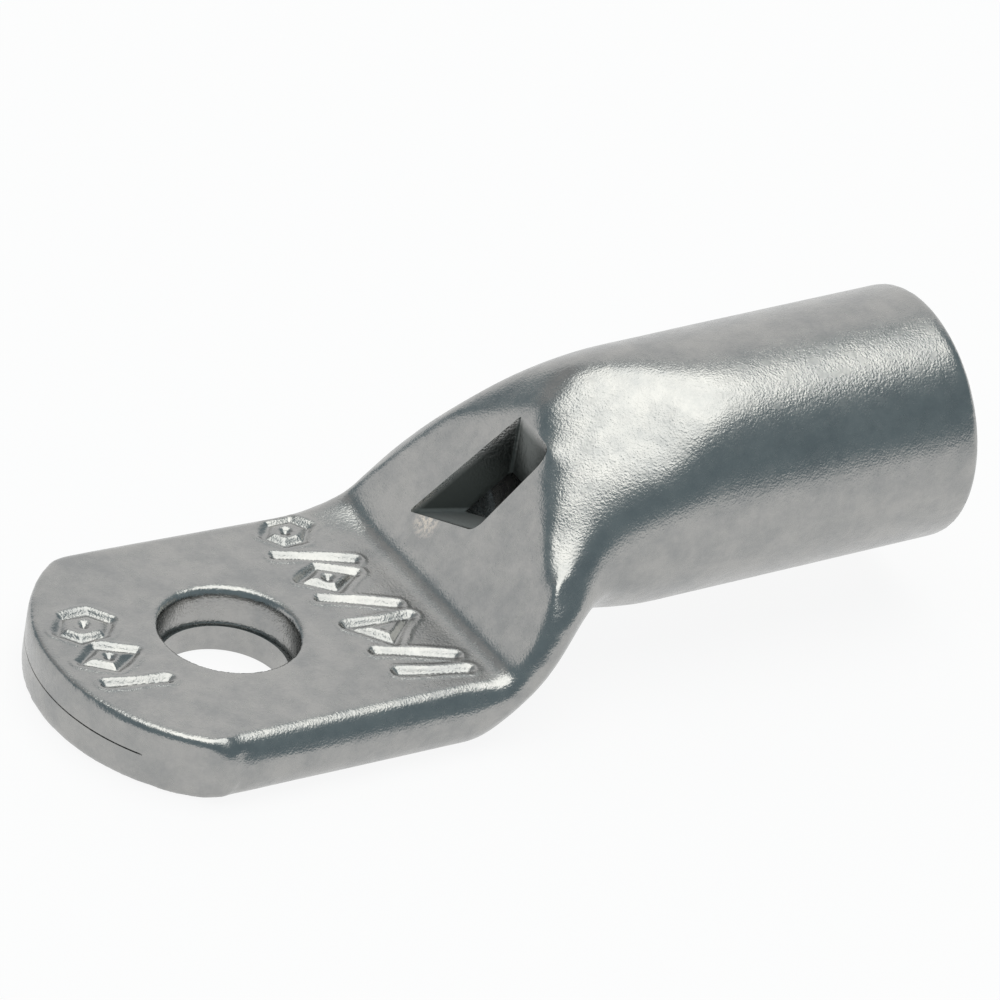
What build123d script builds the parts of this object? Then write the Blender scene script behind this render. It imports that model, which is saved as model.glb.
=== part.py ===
from build123d import *
from math import cos, radians, sin, tan
import os

# Barrel: the round end of the tube, which takes the cable.
barrel_diameter = 12.0
bore_diameter = 8.7
barrel_length = 15.65
rim_outer_radius = 0.5
rim_inner_chamfer = 0.3

# Palm: the other end of the same tube, pressed flat in two layers.
palm_thickness = 3.2
palm_width = 16.7
palm_taper = 1.1
palm_edge_radius = 0.8
palm_edge_bulge = 3.7
tip_radius = 9.4
tip_center = 0.33
tip_edge_chamfer = 0.15

# Stud hole, at the origin and square to the palm.
stud_hole_diameter = 6.4
stud_hole_chamfer = 0.2

# Bend between palm and barrel.
crease_distance = 10.2
crease_radius = 1.0
crease_turn = 1.8
ramp_angle = 57.5
neck_start = 11.6
neck_end = 17.0
rise_start = 8.5
rise_end = 16.7
swell_start = 9.5
barrel_start = 20.2
barrel_offset = 3.757
barrel_tilt = 1.94

# Folds beside the ramp, which leave it a pointed arch. Its apex sits a little to the far side.
fold_apex_distance = 9.75
fold_side_offset = 0.65
fold_half_angle = 51.3
fold_lip_angle = 15.0
fold_end_angle = 40.0
near_fold_radius = 5.0
far_fold_radius = 12.0
fold_width = 5.0
fold_length = 9.0

# Inspection window, punched straight down through the ramp and a little askew.
window_length = 3.05
window_palm_width = 3.9
window_barrel_width = 2.75
window_distance = 13.35
window_side_offset = 0.9
window_skew = 26.2
window_end_angle = 9.0
window_corner_radius = 0.3
window_overrun = 0.3

# Sizes that follow from those above.
barrel_radius = barrel_diameter / 2
wall = (barrel_diameter - bore_diameter) / 2
slope = radians(ramp_angle)
side_plane = Plane.XZ.rotated((0, 0, crease_turn))
ramp_plane = Plane(
    Location(side_plane) * Pos(crease_distance, palm_thickness) * Rot(Z=ramp_angle) * Rot(X=-90) * Rot(Z=90)
)
fold_apex = Location(ramp_plane) * Pos(fold_side_offset, -fold_apex_distance)
fold_lip = Vector(cos(radians(fold_lip_angle)), -sin(radians(fold_lip_angle)))
tilt = radians(barrel_tilt)
reach = barrel_start + barrel_length + barrel_diameter
axis_foot = Vector(0, 0, palm_thickness + barrel_offset)
axis_direction = Vector(cos(tilt), 0, sin(tilt))
outer_stations = 40
inner_stations = 5


def barrel_plane(distance):
    # Square to the barrel's axis, at a distance along it.
    return Plane(origin=axis_foot + axis_direction * distance, x_dir=(0, 1, 0), z_dir=axis_direction)


def blend(start, end, share):
    return start + (end - start) * share


def eased(along, start, end):
    # From 0 to 1 between two distances, level at both ends.
    share = min(max((along - start) / (end - start), 0), 1)
    return share * share * (3 - 2 * share)


def squeezed_tube(start, stations, inset):
    # The tube before its flats: ovals that widen and sink from the barrel towards the palm.
    with BuildPart() as tube:
        for station in range(stations + 1):
            along = blend(start, barrel_start, station / stations)
            rise = eased(along, rise_start, rise_end)
            neck = eased(along, neck_start, neck_end)
            swell = eased(along, swell_start, barrel_start)
            flat_center = Vector(along, 0, palm_thickness / 2)
            flat_half_width = palm_width / 2 - along * tan(radians(palm_taper))
            center = blend(flat_center, barrel_plane(along).origin, rise)
            lean = tilt * rise
            with BuildSketch(Plane(origin=center, x_dir=(0, 1, 0), z_dir=(cos(lean), 0, sin(lean)))):
                Ellipse(
                    blend(flat_half_width, barrel_radius, neck) - inset,
                    blend(palm_edge_bulge, barrel_radius, swell) - inset,
                )
        loft(ruled=inset > 0)
    return tube.part


with BuildPart() as cavity:
    # The bore, which narrows under the ramp until the two layers meet.
    add(squeezed_tube(rise_start, inner_stations, wall))
    with BuildSketch(side_plane):
        with BuildLine():
            inner_drop = wall / cos(slope)
            inner_tip = crease_distance + (wall + inner_drop - palm_thickness) / tan(slope)
            inner_top = palm_thickness + (reach - crease_distance) * tan(slope) - inner_drop
            Polyline((inner_tip, wall), (reach, wall), (reach, inner_top), close=True)
        make_face()
    extrude(amount=palm_width, both=True, mode=Mode.INTERSECT)
    with BuildSketch(barrel_plane(barrel_start)):
        Circle(bore_diameter / 2)
    extrude(amount=barrel_length)

with BuildPart() as window:
    # A four-sided punch, wider towards the palm, which stops just under the ramp's wall.
    with BuildSketch() as punch:
        with BuildLine():
            palm_end = window_distance - window_length / 2
            barrel_end = window_distance + window_length / 2
            shift = tan(radians(window_skew)) * window_length / 2
            end_shift = tan(radians(window_end_angle)) * window_palm_width / 2
            Polyline(
                (palm_end - end_shift, window_side_offset + shift + window_palm_width / 2),
                (barrel_end, window_side_offset - shift + window_barrel_width / 2),
                (barrel_end, window_side_offset - shift - window_barrel_width / 2),
                (palm_end + end_shift, window_side_offset + shift - window_palm_width / 2),
                close=True,
            )
        make_face()
        fillet(punch.vertices(), window_corner_radius)
    extrude(amount=reach)
    split(bisect_by=ramp_plane.offset(-wall - window_overrun), keep=Keep.TOP)

with BuildPart() as lug:
    add(squeezed_tube(-tip_radius - wall, outer_stations, 0))

    # The dies press the palm and the ramp flat.
    with BuildSketch(side_plane) as dies:
        with BuildLine():
            outer_top = palm_thickness + (reach - crease_distance) * tan(slope)
            Polyline(
                (-reach, 0),
                (reach, 0),
                (reach, outer_top),
                (crease_distance, palm_thickness),
                (-reach, palm_thickness),
                close=True,
            )
        make_face()
        crease = dies.vertices().sort_by_distance(ramp_plane.origin)[0]
        fillet(crease, crease_radius)
    extrude(amount=palm_width, both=True, mode=Mode.INTERSECT)

    # The outline of the flats is rounded; the end faces of the oval tube are left for later cuts.
    flats = lug.faces().filter_by(GeomType.BSPLINE, reverse=True)
    outlines = flats.edges().filter_by(GeomType.BSPLINE).group_by(Axis.X)[1:-1]
    fillet([edge for outline in outlines for edge in outline], palm_edge_radius)

    # Barrel and bore.
    with BuildSketch(barrel_plane(barrel_start)):
        Circle(barrel_radius)
    extrude(amount=barrel_length)

    # On each side of the arch the wall folds over, softly, towards the barrel.
    for side, radius in ((-1, near_fold_radius), (1, far_fold_radius)):
        lip = Plane(fold_apex * Rot(Z=-side * fold_half_angle))
        with BuildSketch(Plane(origin=lip.origin, x_dir=lip.x_dir * side, z_dir=lip.y_dir * -side)):
            with BuildLine():
                bend = JernArc((0, 0), fold_lip, radius, fold_lip_angle - fold_end_angle)
                outside = bend @ 1 + bend % 1 * fold_width
                Polyline(bend @ 1, outside, (outside.X, fold_width), (0, fold_width), (0, 0))
            make_face()
        extrude(amount=fold_length, both=True, mode=Mode.SUBTRACT)

    add(cavity.part, mode=Mode.SUBTRACT)
    rims = lug.edges().filter_by(GeomType.CIRCLE).group_by(Axis.X)[-1].sort_by(SortBy.RADIUS)
    chamfer(rims[0], rim_inner_chamfer)
    fillet(rims[-1], rim_outer_radius)

    # The tip is sheared to an arc.
    with BuildSketch():
        with Locations((tip_center, 0)):
            Circle(tip_radius)
            Rectangle(reach, palm_width * 2, align=(Align.MIN, Align.CENTER))
    extrude(amount=reach, mode=Mode.INTERSECT)

    tip_face = lug.faces().filter_by(GeomType.CYLINDER).sort_by(Axis.X)[0]
    chamfer(tip_face.edges(), tip_edge_chamfer)

    # Stud hole and inspection window.
    with Locations((0, 0, palm_thickness)):
        Hole(stud_hole_diameter / 2, depth=palm_thickness)
    stud_rims = lug.edges(Select.LAST).filter_by(GeomType.CIRCLE).sort_by(Axis.Z)
    chamfer(stud_rims[-1], stud_hole_chamfer)
    add(window.part, mode=Mode.SUBTRACT)

lug.part.label = "cable_lug"
os.makedirs("parts", exist_ok=True)
export_step(lug.part, "parts/cable_lug.step")
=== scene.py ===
import math

import bpy
from mathutils import Euler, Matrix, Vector


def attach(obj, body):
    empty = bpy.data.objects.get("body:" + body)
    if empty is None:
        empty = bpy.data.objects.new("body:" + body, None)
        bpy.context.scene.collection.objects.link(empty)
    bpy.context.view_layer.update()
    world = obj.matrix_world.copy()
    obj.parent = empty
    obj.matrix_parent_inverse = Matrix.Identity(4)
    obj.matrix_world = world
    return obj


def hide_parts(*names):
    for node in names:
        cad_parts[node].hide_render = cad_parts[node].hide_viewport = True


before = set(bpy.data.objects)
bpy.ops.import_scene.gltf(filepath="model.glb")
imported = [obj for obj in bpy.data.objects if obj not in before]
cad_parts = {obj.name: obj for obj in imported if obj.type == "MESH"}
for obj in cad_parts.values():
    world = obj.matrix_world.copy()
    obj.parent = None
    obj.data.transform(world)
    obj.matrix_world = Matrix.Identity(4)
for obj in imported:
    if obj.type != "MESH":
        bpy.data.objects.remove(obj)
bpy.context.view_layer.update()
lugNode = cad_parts["cable_lug"]
print("frame loaded:", sorted(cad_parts))

mm = 0.001
leastWeight = 0.001       # corners that weigh less stay out of a vertex group


def deselectAll():
    if bpy.context.mode != "OBJECT":
        bpy.ops.object.mode_set(mode="OBJECT")
    bpy.ops.object.select_all(action="DESELECT")


def makeActive(piece):
    deselectAll()
    piece.select_set(True)
    bpy.context.view_layer.objects.active = piece


def pick(piece, kind, wanted):
    # edit mode, with only the wanted vertices, edges or faces selected
    makeActive(piece)
    bpy.ops.object.mode_set(mode="EDIT")
    bpy.ops.mesh.select_mode(type=kind)
    bpy.ops.mesh.select_all(action="DESELECT")
    bpy.ops.object.mode_set(mode="OBJECT")
    parts = {"VERT": piece.data.vertices, "EDGE": piece.data.edges, "FACE": piece.data.polygons}
    for part in parts[kind]:
        part.select = wanted(part)
    bpy.ops.object.mode_set(mode="EDIT")


def merge(piece, tool, operation):
    # a tool is joined to the piece or cut from it, then goes
    makeActive(piece)
    bpy.ops.object.modifier_add(type="BOOLEAN")
    piece.modifiers["Boolean"].object = tool
    piece.modifiers["Boolean"].operation = operation
    piece.modifiers["Boolean"].solver = "EXACT"
    bpy.ops.object.modifier_apply(modifier="Boolean")
    makeActive(tool)
    bpy.ops.object.delete()
    makeActive(piece)


def weigh(piece, name, share):
    # a vertex group whose weights come from a rule on the place in mm
    group = piece.vertex_groups.new(name=name)
    for corner in piece.data.vertices:
        weight = share(corner.co / mm)
        if weight > leastWeight:
            group.add([corner.index], min(weight, 1.0), "REPLACE")


def shift(piece, name, share, axis, amount):
    # what the rule weighs moves along an axis by an amount in mm
    weigh(piece, name, share)
    makeActive(piece)
    bpy.ops.object.modifier_add(type="DISPLACE")
    push = piece.modifiers["Displace"]
    push.vertex_group = name
    push.direction = axis
    push.mid_level = 0
    push.strength = amount * mm
    bpy.ops.object.modifier_apply(modifier="Displace")
    piece.vertex_groups.remove(piece.vertex_groups[name])


def soften(piece, name, share, passes):
    # what the rule weighs is rubbed round
    weigh(piece, name, share)
    makeActive(piece)
    bpy.ops.object.modifier_add(type="SMOOTH")
    rubbing = piece.modifiers["Smooth"]
    rubbing.vertex_group = name
    rubbing.factor = 0.5
    rubbing.iterations = passes
    bpy.ops.object.modifier_apply(modifier="Smooth")
    piece.vertex_groups.remove(piece.vertex_groups[name])


def ease(value, ends):
    # from 0 at the first end to 1 at the second, level at both
    share = min(max((value - ends[0]) / (ends[1] - ends[0]), 0), 1)
    return share * share * (3 - 2 * share)


def bell(value, middle, spread):
    return math.exp(-((value - middle) / spread) ** 2)


# the lug's own skin, taken from the CAD solid; sizes in mm and angles in degrees, as there
lug = {
    "palmTop": 3.2,
    "holeRadius": 3.2,
    "tipRadius": 9.4,
    "tipCentre": 0.33,
    "tipSide": -2.0,          # what lies beyond this along x belongs to the tip
    "creaseX": 10.2,
    "creaseTurn": 1.8,
    "rampAngle": 57.5,
    "apex": (0.65, 9.75),     # across and up the ramp, where its pointed arch ends
    "foldAngle": 51.3,        # half the arch's point
    "weld": 0.0005,           # corners closer than this become one
    "grid": 0.212,            # size of the skin's facets
    "smoothAngle": 40,        # sharper edges than this stay crisp
}
rampTurn = math.radians(lug["creaseTurn"])
rampSlope = math.radians(lug["rampAngle"])
foldTurn = math.radians(lug["foldAngle"])
rampOrigin = Vector((lug["creaseX"], 0, lug["palmTop"]))
acrossSlope = Vector((-math.sin(rampTurn), math.cos(rampTurn), 0))
upSlope = Vector((
    math.cos(rampSlope) * math.cos(rampTurn),
    math.cos(rampSlope) * math.sin(rampTurn),
    math.sin(rampSlope),
))
intoRamp = acrossSlope.cross(upSlope)

makeActive(lugNode)
bpy.ops.object.duplicate()
lugBody = bpy.context.view_layer.objects.active
lugBody.name = "lugBody"
lugBody.parent = None
for tag in list(lugBody.keys()):
    if tag.startswith("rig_"):
        del lugBody[tag]
pick(lugBody, "VERT", lambda corner: True)
bpy.ops.mesh.remove_doubles(threshold=lug["weld"] * mm)
bpy.ops.mesh.customdata_custom_splitnormals_clear()
bpy.ops.object.mode_set(mode="OBJECT")
print("skin copied:", len(lugBody.data.polygons), "faces")

# the window: the ramp's wall is made whole here, and punched again once the skin is smooth
window = {
    # eight corners each, in mm: palm side first, near before far, low before high
    "fill": (
        (11.8, -0.6, 2.6), (11.8, -0.6, 5.67), (11.2, 4.0, 1.7), (11.2, 4.0, 4.956),
        (15.0, -1.5, 7.6), (15.0, -1.5, 10.647), (15.0, 1.9, 7.75), (15.0, 1.9, 10.815),
    ),
    # the low corners on the palm's side are close under the ramp, which leaves a lip there
    "punch": (
        (12.15, -0.28, 6.2), (12.15, -0.28, 12.0), (11.2, 3.72, 4.85), (11.2, 3.72, 12.0),
        (15.05, -1.3, 6.5), (15.05, -1.3, 12.0), (15.0, 1.6, 5.55), (15.0, 1.6, 12.0),
    ),
    "rounding": (0.35, 0.2, 0.75, 0.15),      # mm, at the punch's upright edges in the same order
    "segments": 6,
    "snap": 0.01,             # mm, how near its foot an upright edge has to stand
}


def block(name, corners):
    # a cube led to its eight corners
    deselectAll()
    bpy.ops.mesh.primitive_cube_add(size=2 * mm)
    piece = bpy.context.active_object
    piece.name = name
    for index, goal in enumerate(corners):
        start = piece.data.vertices[index].co.copy()
        pick(piece, "VERT", lambda corner: corner.index == index)
        bpy.ops.transform.translate(value=Vector(goal) * mm - start)
        bpy.ops.object.mode_set(mode="OBJECT")
    return piece


def roundUpright(piece, foot, radius):
    # the upright edge over a foot is rounded
    def isOverFoot(edge):
        ends = [piece.data.vertices[index].co / mm for index in edge.vertices]
        return all(math.hypot(end.x - foot[0], end.y - foot[1]) < window["snap"] for end in ends)

    pick(piece, "EDGE", isOverFoot)
    bpy.ops.mesh.bevel(offset=radius * mm, segments=window["segments"])
    bpy.ops.object.mode_set(mode="OBJECT")


merge(lugBody, block("windowFill", window["fill"]), "UNION")
bpy.ops.object.modifier_add(type="REMESH")
lugBody.modifiers["Remesh"].mode = "VOXEL"
lugBody.modifiers["Remesh"].voxel_size = lug["grid"] * mm
bpy.ops.object.modifier_apply(modifier="Remesh")
print("skin made even:", len(lugBody.data.polygons), "faces")

# where the skin is rubbed round; a pair runs from no effect to the whole of it, in mm
rubbed = {
    "tip": {"inside": (1.0, 0.5), "passes": 9},
    "shoulder": {"past": (0.1, 1.4), "x": (25, 22), "passes": 60},
    "nearShoulder": {"past": (0.2, 1.8), "x": (24.5, 20.5), "y": (3.0, 0.0), "z": (4.5, 7.0), "passes": 260},
    "crease": {"off": (1.3, 0.7), "above": 2.6, "passes": 30},
    "foldLip": {"spread": 0.6, "above": 4.0, "before": 18, "passes": 14},
    "all": {"passes": 2},
}
# the near shoulder is drawn in below its top, where it tapers off into the palm's edge
drawnIn = {"into": (-0.1, 0.45), "x": (19.3, 16.5), "y": (-3.0, -5.2), "z": (5.6, 7.0), "amount": 0.6}


def pastFold(place):
    # distance in mm outside the ramp's pointed arch, less than 0 on the ramp itself
    side = (place - rampOrigin).dot(acrossSlope) - lug["apex"][0]
    up = (place - rampOrigin).dot(upSlope) - lug["apex"][1]
    return abs(side) * math.cos(foldTurn) + up * math.sin(foldTurn)


def nearTip(place):
    # 1 on the sheared face at the tip, fading just behind it
    if place.x > lug["tipSide"]:
        return 0
    inside = lug["tipRadius"] - math.hypot(place.x - lug["tipCentre"], place.y)
    return ease(inside, rubbed["tip"]["inside"])


def onShoulder(place):
    if place.z <= lug["palmTop"]:
        return 0
    region = rubbed["shoulder"]
    return ease(pastFold(place), region["past"]) * ease(place.x, region["x"])


def nearShoulder(place):
    # the near side of the shoulder, where the fold rolls over into the barrel
    region = rubbed["nearShoulder"]
    share = ease(pastFold(place), region["past"]) * ease(place.x, region["x"])
    return share * ease(place.y, region["y"]) * ease(place.z, region["z"])


def nearTaper(place):
    share = ease((place - rampOrigin).dot(intoRamp), drawnIn["into"]) * ease(place.x, drawnIn["x"])
    return share * ease(place.y, drawnIn["y"]) * ease(place.z, drawnIn["z"])


def onCrease(place):
    region = rubbed["crease"]
    off = abs(place.x - lug["creaseX"] + place.y * math.tan(rampTurn))
    return ease(off, region["off"]) if place.z > region["above"] else 0


def onFoldLip(place):
    region = rubbed["foldLip"]
    reached = place.z > region["above"] and place.x < region["before"]
    return bell(pastFold(place), 0, region["spread"]) if reached else 0


soften(lugBody, "tip", nearTip, rubbed["tip"]["passes"])
soften(lugBody, "shoulder", onShoulder, rubbed["shoulder"]["passes"])
shift(lugBody, "nearTaper", nearTaper, "Y", drawnIn["amount"])
soften(lugBody, "nearShoulder", nearShoulder, rubbed["nearShoulder"]["passes"])
soften(lugBody, "crease", onCrease, rubbed["crease"]["passes"])
soften(lugBody, "foldLip", onFoldLip, rubbed["foldLip"]["passes"])
soften(lugBody, "all", lambda place: 1, rubbed["all"]["passes"])
print("edges rubbed round")

# the far end of the crease is drawn up a little, and the near tip corner keeps a folded bead
farRise = {"x": 9.6, "spread": 1.5, "y": (4.5, 8.0), "z": (1.6, 3.0), "amount": 0.4}      # mm
bead = {"x": -4.35, "spread": 0.4, "z": (0.1, 0.6), "amount": 0.12, "beyondY": -7.4}
beadCrease = {"x": -3.55, "spread": 0.26, "low": (0.4, 1.0), "high": (2.9, 2.3), "amount": -0.13}


def onFarRise(place):
    share = bell(place.x, farRise["x"], farRise["spread"])
    return share * ease(place.y, farRise["y"]) * ease(place.z, farRise["z"])


def onBead(place):
    if place.y >= bead["beyondY"]:
        return 0
    return bell(place.x, bead["x"], bead["spread"]) * ease(place.z, bead["z"])


def inBeadCrease(place):
    if place.y >= bead["beyondY"]:
        return 0
    share = bell(place.x, beadCrease["x"], beadCrease["spread"])
    return share * ease(place.z, beadCrease["low"]) * ease(place.z, beadCrease["high"])


shift(lugBody, "farRise", onFarRise, "Z", farRise["amount"])
shift(lugBody, "bead", onBead, "NORMAL", bead["amount"])
shift(lugBody, "beadCrease", inBeadCrease, "NORMAL", beadCrease["amount"])

punch = block("windowPunch", window["punch"])
for foot, radius in zip(window["punch"][::2], window["rounding"]):
    roundUpright(punch, foot, radius)
merge(lugBody, punch, "DIFFERENCE")
print("window punched:", len(lugBody.data.polygons), "faces")

# the lower layer's hole is the smaller one, which leaves a ledge
ledge = {"outer": 3.6, "inner": 2.98, "low": 0.02, "high": 1.3, "past": (-1, 3), "sides": 120}      # mm


def disc(name, radius, low, high):
    deselectAll()
    bpy.ops.mesh.primitive_cylinder_add(
        vertices=ledge["sides"], radius=radius * mm, depth=(high - low) * mm,
        location=(0, 0, (low + high) / 2 * mm),
    )
    piece = bpy.context.active_object
    piece.name = name
    bpy.ops.object.transform_apply(location=True, rotation=False, scale=False)
    return piece


ring = disc("ledgeRing", ledge["outer"], ledge["low"], ledge["high"])
merge(ring, disc("ledgeHole", ledge["inner"], *ledge["past"]), "DIFFERENCE")
merge(lugBody, ring, "UNION")
print("ledge added:", len(lugBody.data.polygons), "faces")

# stamped marks, plain signs only: each is a run of straight strokes in the palm's top; sizes in mm
stamps = {
    "depth": 0.2,
    "half": 0.36,             # half a stroke's width
    "slope": 0.414,           # from a stroke's edge towards its full depth
    "rim": 0.04,              # height of the metal raised beside a stroke
    "rimOff": 0.1,
    "rimSpread": 0.13,
    "wobble": (0.05, 2.3, 1.7),      # how uneven, and its waves along x and y in radians per mm
    "cuts": 2,                # how finely the palm's facets are cut up here
    "under": 0.1,             # how far below the palm's top the zones begin
    # from and to along x, then along y
    "zones": ((4.2, 9.45, -7.2, 7.5), (-8.3, -3.5, -4.0, 4.1)),
    # each shape is a list of points; the closed ones end where they start
    "shapes": (
        # far to near along the crease: ring of six, slant, lozenge, slant, triangle, two slants
        ((5.2, 6.2), (5.9, 7.0), (7.0, 7.0), (7.5, 6.2), (6.9, 5.4), (5.8, 5.3), (5.2, 6.2)),
        ((4.9, 4.6), (8.3, 3.2)),
        ((5.0, 2.5), (6.3, 3.2), (7.8, 2.2), (6.4, 1.3), (5.0, 2.5)),
        ((5.2, 0.9), (8.4, -0.6)),
        ((5.3, -1.4), (8.5, -1.6), (6.8, -3.2), (5.3, -1.4)),
        ((5.6, -3.6), (8.9, -5.0)),
        ((5.8, -5.4), (8.9, -6.2)),
        # by the tip: ring of six, lozenge, bar
        ((-7.6, 2.2), (-6.9, 3.2), (-5.6, 3.2), (-4.9, 2.3), (-5.6, 1.4), (-6.9, 1.3), (-7.6, 2.2)),
        ((-7.7, -0.2), (-6.5, 0.7), (-4.9, -0.2), (-6.4, -1.2), (-7.7, -0.2)),
        ((-7.4, -2.1), (-4.6, -2.6)),
    ),
    "dots": ((6.35, 6.2), (6.4, 2.25), (-6.25, 2.3), (-6.3, -0.25)),
}
strokes = [stroke for shape in stamps["shapes"] for stroke in zip(shape, shape[1:])]


def strokeGap(place):
    # distance to the middle of the nearest stroke or dot, a little uneven
    gap = math.inf
    for (fromX, fromY), (toX, toY) in strokes:
        alongX, alongY = toX - fromX, toY - fromY
        share = ((place.x - fromX) * alongX + (place.y - fromY) * alongY) / (alongX ** 2 + alongY ** 2)
        share = min(max(share, 0), 1)
        gap = min(gap, math.hypot(place.x - fromX - share * alongX, place.y - fromY - share * alongY))
    for dotX, dotY in stamps["dots"]:
        gap = min(gap, math.hypot(place.x - dotX, place.y - dotY))
    height, waveX, waveY = stamps["wobble"]
    return gap + height * math.sin(waveX * place.x + waveY * place.y)


def inZone(place):
    if place.z < lug["palmTop"] - stamps["under"]:
        return False
    return any(left < place.x < right and low < place.y < high for left, right, low, high in stamps["zones"])


def inGroove(place):
    return ease(stamps["half"] - strokeGap(place), (0, stamps["slope"])) if inZone(place) else 0


def onRim(place):
    if not inZone(place):
        return 0
    return bell(strokeGap(place), stamps["half"] + stamps["rimOff"], stamps["rimSpread"])


pick(lugBody, "FACE", lambda face: inZone(face.center / mm))
bpy.ops.mesh.subdivide(number_cuts=stamps["cuts"])
bpy.ops.object.mode_set(mode="OBJECT")
shift(lugBody, "rim", onRim, "Z", stamps["rim"])
shift(lugBody, "groove", inGroove, "Z", -stamps["depth"])
print("stamps pressed:", len(lugBody.data.polygons), "faces")

# the seam between the two pressed layers, at the tip and in the stud hole
seam = {
    "tip": {"height": 1.62, "depth": 0.12, "ends": (-5.5, 5.8)},        # mm, the ends across the palm
    "hole": {"height": 1.37, "depth": 0.04, "ends": (-4.0, 4.0)},
    "half": 0.05,             # mm, half its width
    "tipBand": 0.35,          # mm, how far in from the tip's face it may be cut
    "holeBand": 0.12,
    "upright": 0.7,           # faces whose normal rises more than this stay whole
    "snap": 0.002,            # mm
}


def onTip(place):
    reach = math.hypot(place.x - lug["tipCentre"], place.y)
    return place.x < lug["tipSide"] and reach > lug["tipRadius"] - seam["tipBand"]


def inHole(place):
    return math.hypot(place.x, place.y) < lug["holeRadius"] + seam["holeBand"]


def cutSeam(wanted, height, depth, ends):
    # three level cuts, of which the middle one sinks in
    for step in (-1, 0, 1):
        level = (height + step * seam["half"]) * mm
        pick(lugBody, "FACE", lambda face: wanted(face.center / mm) and abs(face.normal.z) < seam["upright"])
        bpy.ops.mesh.bisect(plane_co=(0, 0, level), plane_no=(0, 0, 1), threshold=seam["snap"] * mm)

    def sinks(corner):
        place = corner.co / mm
        return wanted(place) and abs(place.z - height) < 2 * seam["snap"] and ends[0] < place.y < ends[1]

    pick(lugBody, "VERT", sinks)
    bpy.ops.transform.shrink_fatten(value=-depth * mm)
    bpy.ops.object.mode_set(mode="OBJECT")


cutSeam(onTip, **seam["tip"])
cutSeam(inHole, **seam["hole"])
print("seams cut:", len(lugBody.data.polygons), "faces")


def feed(tree, socket, value):
    # a socket takes another node's output or a plain value
    if isinstance(value, bpy.types.NodeSocket):
        tree.links.new(value, socket)
    else:
        socket.default_value = value


def addNode(tree, kind, inputs, **settings):
    node = tree.nodes.new("ShaderNode" + kind)
    for name, value in settings.items():
        setattr(node, name, value)
    for name, value in inputs.items():
        feed(tree, node.inputs[name], value)
    return node


def reckon(tree, operation, first, second=0.0):
    return addNode(tree, "Math", {0: first, 1: second}, operation=operation).outputs["Value"]


def fade(tree, value, ends, results=(0.0, 1.0), interpolation="LINEAR"):
    inputs = {
        "Value": value, "From Min": ends[0], "From Max": ends[1],
        "To Min": results[0], "To Max": results[1],
    }
    return addNode(tree, "MapRange", inputs, interpolation_type=interpolation).outputs["Result"]


def blend(tree, kind, share, first, second):
    # from the first to the second as the share goes from 0 to 1
    node = addNode(tree, "Mix", {}, data_type=kind)
    sockets = [socket for socket in node.inputs if socket.enabled]
    for socket, value in zip(sockets, (share, first, second)):
        feed(tree, socket, value)
    return next(socket for socket in node.outputs if socket.enabled)


# satin tin plate over the copper; each noise has a scale per mm, a detail and a roughness
tin = {
    "colour": (0.402, 0.4, 0.388),
    "shade": (0.322, 0.327, 0.324),
    "cloud": (0.5, 6, 0.75),
    "cloudEnds": (0.35, 0.6),
    "roughness": (0.21, 0.3),
    "smear": (1.6, 3, 0.6),
    "smearEnds": (0.3, 0.7),
    "grain": (10.0, 1, 0.5),  # the finest relief
    "grainHeight": 0.013,     # mm
    "tumble": (4.0, 1, 0.5),  # the wider dimples under it
    "tumbleHeight": 0.008,    # mm
}
# the cut walls of the window, rougher and with painted shade: the barrel side and the far side are painted
# dark as the hollow's shade, and the lip only a little darker than the tin; a place on each, the way out of
# the hole, colour and roughness
shadedCutWalls = {
    "barrelSide": ((15.02, 0.0, 8.0), (1.0, 0.012, 0.0), (0.14, 0.15, 0.145), 0.3),
    "farSide": ((15.0, 1.6, 8.0), (0.487, 0.873, 0.0), (0.1, 0.108, 0.104), 0.3),
    "lip": ((11.2, 3.72, 4.85), (0.0, -0.309, -0.951), (0.36, 0.375, 0.37), 0.6),
}
cutEnds = {"arch": (0.1, -0.1), "top": (0.05, 0.35), "bottom": (3.2, 2.4), "off": (0.25, 0.12)}      # mm
# a painted glint just outside the window: a speckled patch of near-white colour where the punched edge
# catches the light
paintedGlint = {
    "place": (11.4, 2.45, 5.2),
    "ends": (0.9, 0.3),       # mm from there
    "under": (0.15, 0.05),
    "speckle": (5.0, 2, 0.6),
    "speckleEnds": (0.42, 0.58),
    "colour": (0.95, 0.86, 0.77),
    "roughness": 0.6,
}


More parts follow.
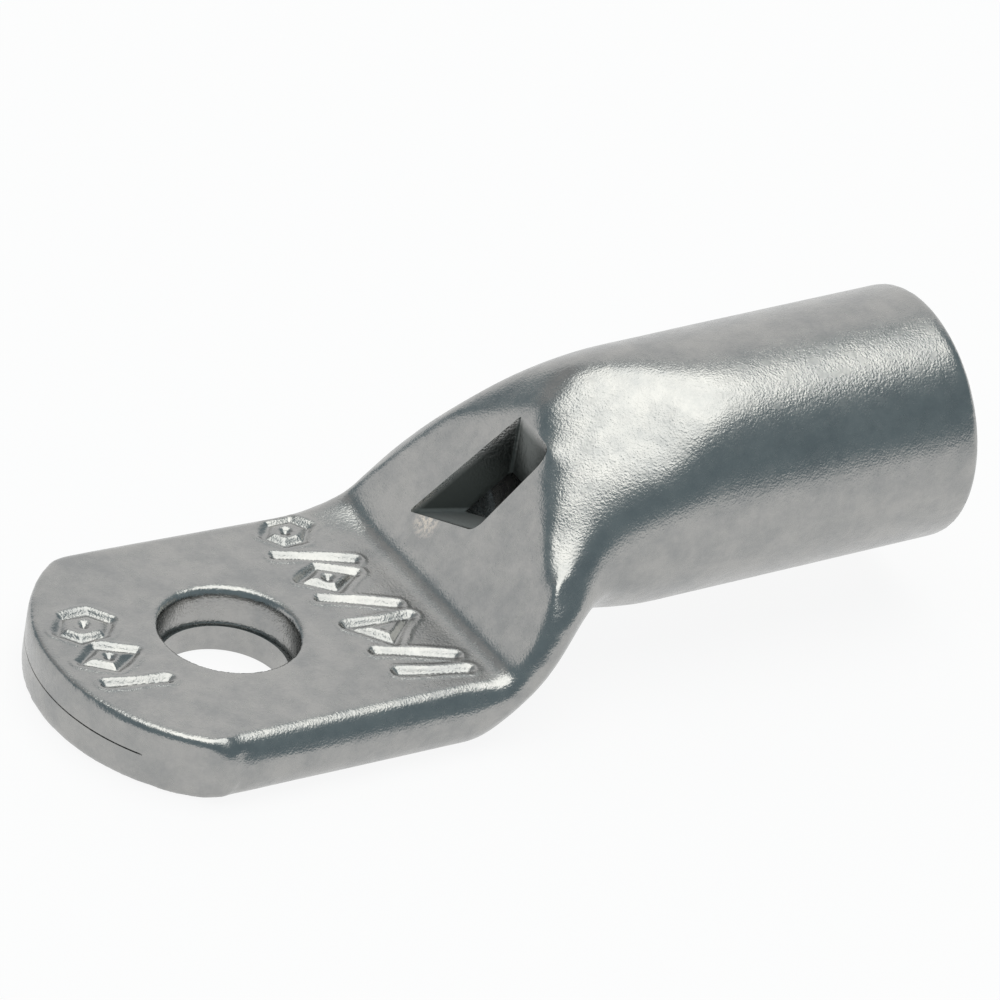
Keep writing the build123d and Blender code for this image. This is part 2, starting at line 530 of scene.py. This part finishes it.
def tinnedMetal():
    metal = bpy.data.materials.new("tinPlate")
    metal.use_nodes = True
    tree = metal.node_tree
    shader = tree.nodes["Principled BSDF"]
    shader.inputs["Metallic"].default_value = 1.0
    place = addNode(tree, "TexCoord", {}).outputs["Object"]
    inMm = addNode(tree, "Mapping", {"Vector": place, "Scale": (1 / mm,) * 3}).outputs["Vector"]

    def noise(settings):
        scale, detail, roughness = settings
        inputs = {"Vector": inMm, "Scale": scale, "Detail": detail, "Roughness": roughness}
        return addNode(tree, "TexNoise", inputs).outputs["Fac"]

    def reach(direction, start=rampOrigin):
        # how far a place lies along a direction from the start, in mm
        along = addNode(tree, "VectorMath", {0: inMm, 1: direction}, operation="DOT_PRODUCT").outputs["Value"]
        return reckon(tree, "SUBTRACT", along, start.dot(direction))

    cloud = fade(tree, noise(tin["cloud"]), tin["cloudEnds"])
    colour = blend(tree, "RGBA", cloud, (*tin["shade"], 1), (*tin["colour"], 1))
    roughness = fade(tree, noise(tin["smear"]), tin["smearEnds"], tin["roughness"])

    def layOver(share, newColour, newRoughness):
        # another colour and roughness where the share is 1
        return (
            blend(tree, "RGBA", share, colour, (*newColour, 1)),
            blend(tree, "FLOAT", share, roughness, newRoughness),
        )

    # the cut walls lie under the ramp's plane and within its arch, and there they take their painted shade
    side = reckon(tree, "ABSOLUTE", reckon(tree, "SUBTRACT", reach(acrossSlope), lug["apex"][0]))
    up = reckon(tree, "SUBTRACT", reach(upSlope), lug["apex"][1])
    past = reckon(
        tree, "ADD",
        reckon(tree, "MULTIPLY", side, math.cos(foldTurn)), reckon(tree, "MULTIPLY", up, math.sin(foldTurn)),
    )
    under = reach(intoRamp)
    within = fade(tree, past, cutEnds["arch"])
    for ends in (cutEnds["top"], cutEnds["bottom"]):
        within = reckon(tree, "MULTIPLY", within, fade(tree, under, ends))
    # painted shade on each cut wall inside the window
    for start, outward, wallShadeColour, wallRoughness in shadedCutWalls.values():
        off = reckon(tree, "ABSOLUTE", reach(Vector(outward), Vector(start)))
        share = reckon(tree, "MULTIPLY", within, fade(tree, off, cutEnds["off"]))
        colour, roughness = layOver(share, wallShadeColour, wallRoughness)

    # the painted glint, speckled, fading out from its place and from under the ramp
    gap = addNode(tree, "VectorMath", {0: inMm, 1: paintedGlint["place"]}, operation="DISTANCE").outputs["Value"]
    speckle = fade(tree, noise(paintedGlint["speckle"]), paintedGlint["speckleEnds"])
    share = reckon(tree, "MULTIPLY", fade(tree, gap, paintedGlint["ends"]), speckle)
    share = reckon(tree, "MULTIPLY", share, fade(tree, under, paintedGlint["under"]))
    colour, roughness = layOver(share, paintedGlint["colour"], paintedGlint["roughness"])
    feed(tree, shader.inputs["Base Color"], colour)
    feed(tree, shader.inputs["Roughness"], roughness)

    tumble = addNode(tree, "Bump", {"Height": noise(tin["tumble"]), "Distance": tin["tumbleHeight"] * mm})
    grain = addNode(tree, "Bump", {"Height": noise(tin["grain"]), "Distance": tin["grainHeight"] * mm})
    feed(tree, grain.inputs["Normal"], tumble.outputs["Normal"])
    feed(tree, shader.inputs["Normal"], grain.outputs["Normal"])
    return metal


lugBody.data.materials.clear()
lugBody.data.materials.append(tinnedMetal())
makeActive(lugBody)
bpy.ops.object.shade_smooth_by_angle(angle=math.radians(lug["smoothAngle"]))

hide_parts("cable_lug")
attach(lugBody, "root")
print("lug dressed")

# a pale table top, white to the lens, that keeps the lug's shadow
tableTop = {"size": 4.0, "colour": 0.92, "glow": 0.9}      # size in m


def palePaper():
    paper = bpy.data.materials.new("palePaper")
    paper.use_nodes = True
    tree = paper.node_tree
    tree.nodes.clear()
    rays = addNode(tree, "LightPath", {}).outputs
    seen = reckon(tree, "MAXIMUM", rays["Is Camera Ray"], rays["Is Glossy Ray"])
    seen = reckon(tree, "MAXIMUM", seen, rays["Is Transmission Ray"])
    share = reckon(tree, "MULTIPLY", seen, tableTop["glow"])
    matte = addNode(tree, "BsdfDiffuse", {"Color": (*[tableTop["colour"]] * 3, 1)}).outputs["BSDF"]
    white = addNode(tree, "Emission", {"Strength": 1.0}).outputs["Emission"]
    mixed = addNode(tree, "MixShader", {"Fac": share, 1: matte, 2: white}).outputs["Shader"]
    addNode(tree, "OutputMaterial", {"Surface": mixed})
    return paper


deselectAll()
bpy.ops.mesh.primitive_plane_add(size=tableTop["size"], location=(0, 0, 0))
floor = bpy.context.active_object
floor.name = "tableTop"
floor.data.materials.append(palePaper())

# the studio round it: a soft box overhead, pale cards behind, and a darker room
studio = {
    "room": (0.25, 0.318, 0.35),
    "cards": (
        # direction, radius in degrees, softness in degrees, brightness
        ((0.45, 0.78, 0.25), 36, 5, 0.95),
        ((-0.80, 0.60, 0.02), 28, 5, 0.98),
        ((-0.21, 0.68, 0.69), 14, 7, 0.5),
    ),
    "lampPlace": (0.10, 0.0, 0.99),      # m
    "lampSize": 1.04,                    # m
    "lampPower": 6.0,                    # W
    "lampColour": (1.0, 0.975, 0.925),
}

world = bpy.data.worlds.new("studio")
bpy.context.scene.world = world
world.use_nodes = True
sky = world.node_tree
around = addNode(sky, "TexCoord", {}).outputs["Generated"]
light = (*studio["room"], 1)
for direction, radius, softness, brightness in studio["cards"]:
    inputs = {0: around, 1: Vector(direction).normalized()}
    toward = addNode(sky, "VectorMath", inputs, operation="DOT_PRODUCT").outputs["Value"]
    ends = [math.cos(math.radians(radius + step * softness)) for step in (1, -1)]
    edge = fade(sky, toward, ends, interpolation="SMOOTHSTEP")
    light = blend(sky, "RGBA", edge, light, (*[brightness] * 3, 1))
feed(sky, sky.nodes["Background"].inputs["Color"], light)

deselectAll()
bpy.ops.object.light_add(type="AREA", location=studio["lampPlace"])
lamp = bpy.context.active_object
lamp.name = "softBox"
lamp.data.shape = "DISK"
lamp.data.size = studio["lampSize"]
lamp.data.energy = studio["lampPower"]
lamp.data.color = studio["lampColour"]
lamp.rotation_euler = (-Vector(studio["lampPlace"])).to_track_quat("-Z", "Y").to_euler()
print("studio ready")

# the camera stands where the photograph was taken from
photoCamera = {
    "place": (-177.57, -266.19, 216.90),      # mm
    "turn": (57.011, -8.473, -30.206),        # degrees
    "lens": 307.66,                           # mm, as the sensor's width
    "sensor": 36,
    "sees": (0.01, 10),                       # m, nearest and farthest
}
cameraData = bpy.data.cameras.new("photoCamera")
cameraData.lens = photoCamera["lens"]
cameraData.sensor_width = photoCamera["sensor"]
cameraData.clip_start, cameraData.clip_end = photoCamera["sees"]
camera = bpy.data.objects.new("photoCamera", cameraData)
bpy.context.scene.collection.objects.link(camera)
camera.location = Vector(photoCamera["place"]) * mm
camera.rotation_euler = Euler([math.radians(angle) for angle in photoCamera["turn"]])
bpy.context.scene.camera = camera
bpy.context.scene.view_settings.view_transform = "Standard"
print("camera placed")

bpy.context.view_layer.update()
